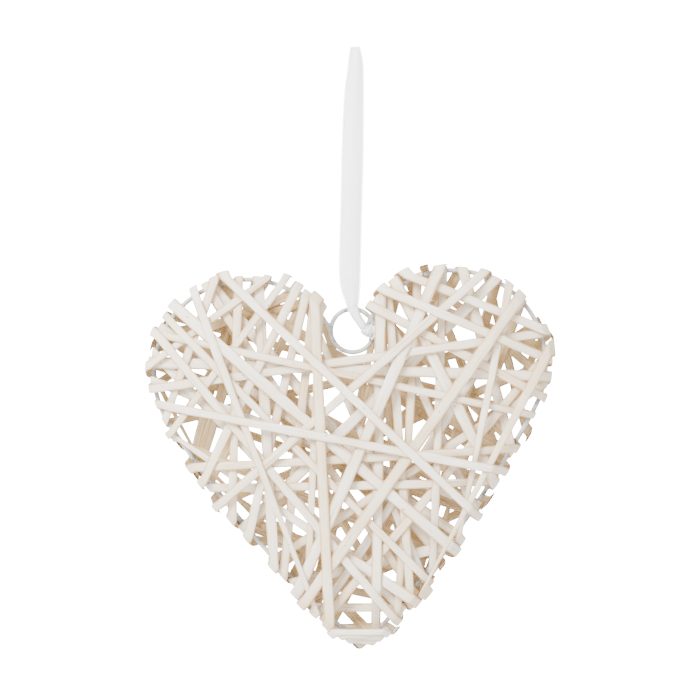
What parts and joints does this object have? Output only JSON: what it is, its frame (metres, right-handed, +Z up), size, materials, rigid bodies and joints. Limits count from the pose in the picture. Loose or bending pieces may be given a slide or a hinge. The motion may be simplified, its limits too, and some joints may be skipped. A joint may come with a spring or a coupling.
{
  "type": "wicker heart",
  "caption": "Hanging wicker heart: whitewashed split-willow strips wound over a wire heart, with a ring and a satin ribbon loop",
  "frame": {"origin": "inside top of the ribbon's loop, where a hook holds it", "axes": "+Z up, the front of the heart faces -Y, +X to the right seen from the front"},
  "size_m": [0.2245, 0.0497, 0.3278],
  "materials": {
    "painted_steel_wire": "white paint, semi-matt, worn grey in places",
    "whitewashed_willow": "matt whitewash over split willow, bare tan inside",
    "white_satin": "soft satin weave"
  },
  "bodies": {
    "root": {"wire_frame": "painted_steel_wire", "willow_strip_01": "whitewashed_willow", "willow_strip_02": "whitewashed_willow", "willow_strip_03": "whitewashed_willow", "willow_strip_04": "whitewashed_willow", "willow_strip_05": "whitewashed_willow", "willow_strip_06": "whitewashed_willow", "willow_strip_07": "whitewashed_willow", "willow_strip_08": "whitewashed_willow", "willow_strip_09": "whitewashed_willow", "willow_strip_10": "whitewashed_willow", "willow_strip_11": "whitewashed_willow", "willow_strip_12": "whitewashed_willow", "willow_strip_13": "whitewashed_willow", "willow_strip_14": "whitewashed_willow", "willow_strip_15": "whitewashed_willow", "willow_strip_16": "whitewashed_willow", "willow_strip_17": "whitewashed_willow", "tip_binding": "whitewashed_willow", "hanging_ribbon": "white_satin"}
  },
  "joints": []
}
